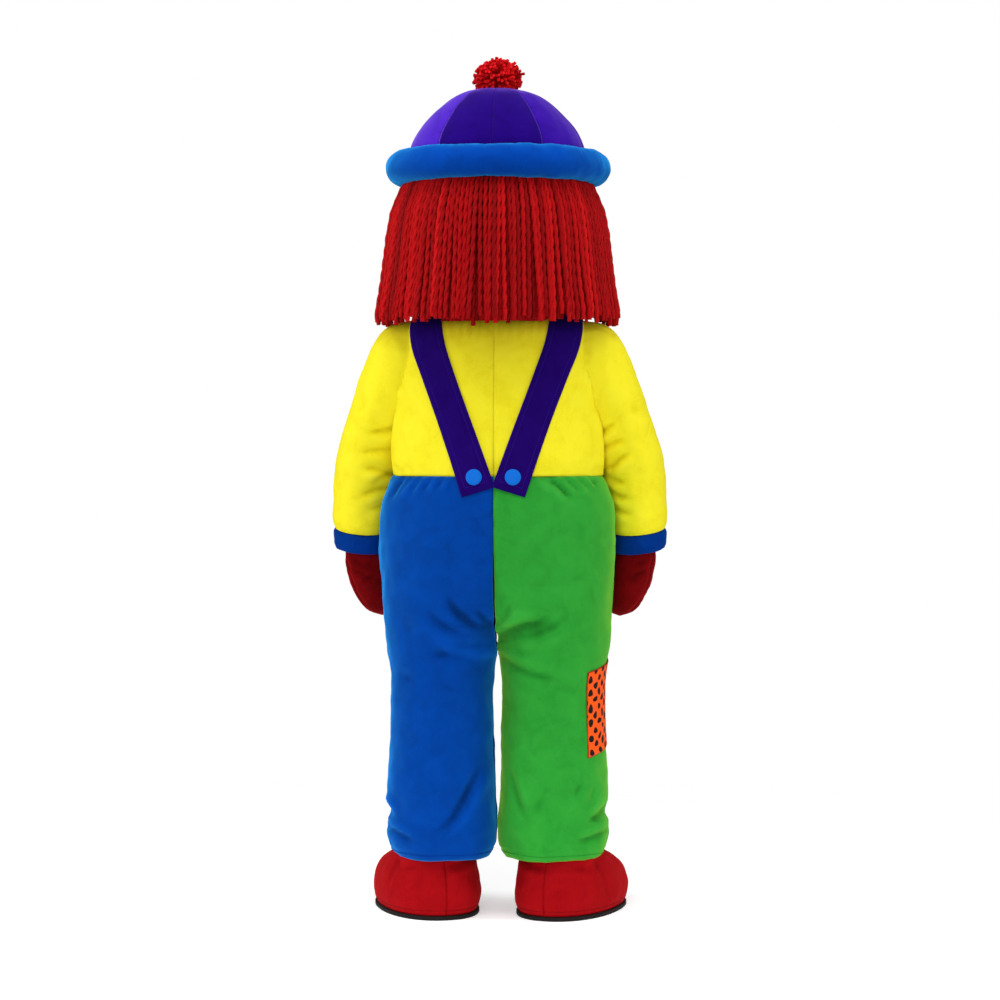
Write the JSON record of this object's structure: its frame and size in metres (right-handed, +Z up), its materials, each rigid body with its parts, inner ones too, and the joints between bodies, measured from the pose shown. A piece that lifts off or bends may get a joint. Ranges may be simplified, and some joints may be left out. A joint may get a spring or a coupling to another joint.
{
  "type": "clown mascot costume with a full head, yarn wig and hat",
  "caption": "Full-body plush clown costume, filled out and standing: round hat with pompom, yarn wig, yellow top, two-colour trousers with shoulder straps, mittens and shoe covers.",
  "frame": {"origin": "on the floor, under the middle of the whole costume's bounding box", "axes": "+Z up; +Y the way the costume faces, so its back, which the picture shows, faces -Y; +X the wearer's right, seen on the right from behind"},
  "size_m": [0.794, 0.5544, 2.0011],
  "materials": {
    "plush_yellow": "short-pile velboa plush, lemon yellow",
    "plush_blue": "short-pile velboa plush, royal blue",
    "plush_green": "short-pile velboa plush, leaf green",
    "plush_purple": "short-pile velboa plush, violet",
    "plush_brim": "short-pile velboa plush over a foam roll, bright blue",
    "plush_cuff": "short-pile velboa plush, blue",
    "strap_cloth": "velboa plush strap, dark violet, topstitched",
    "plush_mitten": "short-pile velboa plush, red",
    "plush_shoe": "short-pile velboa plush, red, topstitched over the sole",
    "head_cloth": "short-pile plush over foam, red, under the wig",
    "face_cloth": "short-pile plush over foam, pale, plain",
    "vision_net": "fine dark see-through net",
    "wig_yarn": "thick two-ply yarn, red",
    "pompom_yarn": "cut yarn, dark red",
    "patch_cloth": "short-pile plush, orange with black spots",
    "button_plastic": "blue domed button",
    "sole_rubber": "black sheet sole"
  },
  "bodies": {
    "root": {"top_back_right": "plush_yellow", "top_front": "plush_yellow", "top_back_left": "plush_yellow", "sleeve_right": "plush_yellow", "sleeve_left": "plush_yellow", "cuff_right": "plush_cuff", "cuff_left": "plush_cuff", "mitten_palm_right": "plush_mitten", "mitten_back_right": "plush_mitten", "thumb_right": "plush_mitten", "mitten_palm_left": "plush_mitten", "mitten_back_left": "plush_mitten", "thumb_left": "plush_mitten", "shoe_outer_right": "plush_shoe", "shoe_inner_right": "plush_shoe", "sole_right": "sole_rubber", "shoe_outer_left": "plush_shoe", "shoe_inner_left": "plush_shoe", "sole_left": "sole_rubber", "leg_back_left": "plush_blue", "leg_front_left": "plush_blue", "leg_back_right": "plush_green", "leg_front_right": "plush_green", "strap_right": "strap_cloth", "strap_left": "strap_cloth", "button_back_right": "button_plastic", "button_back_left": "button_plastic", "button_front_right": "button_plastic", "button_front_left": "button_plastic", "patch": "patch_cloth", "head_face": "face_cloth", "head_back": "head_cloth", "vision_mesh_right": "vision_net", "vision_mesh_left": "vision_net", "brim": "plush_brim", "crown_gore_1": "plush_purple", "crown_gore_2": "plush_purple", "crown_gore_3": "plush_purple", "crown_gore_4": "plush_purple", "crown_gore_5": "plush_purple", "crown_gore_6": "plush_purple", "crown_gore_7": "plush_purple", "crown_gore_8": "plush_purple", "pompom": "pompom_yarn", "wig": "wig_yarn"}
  },
  "joints": []
}
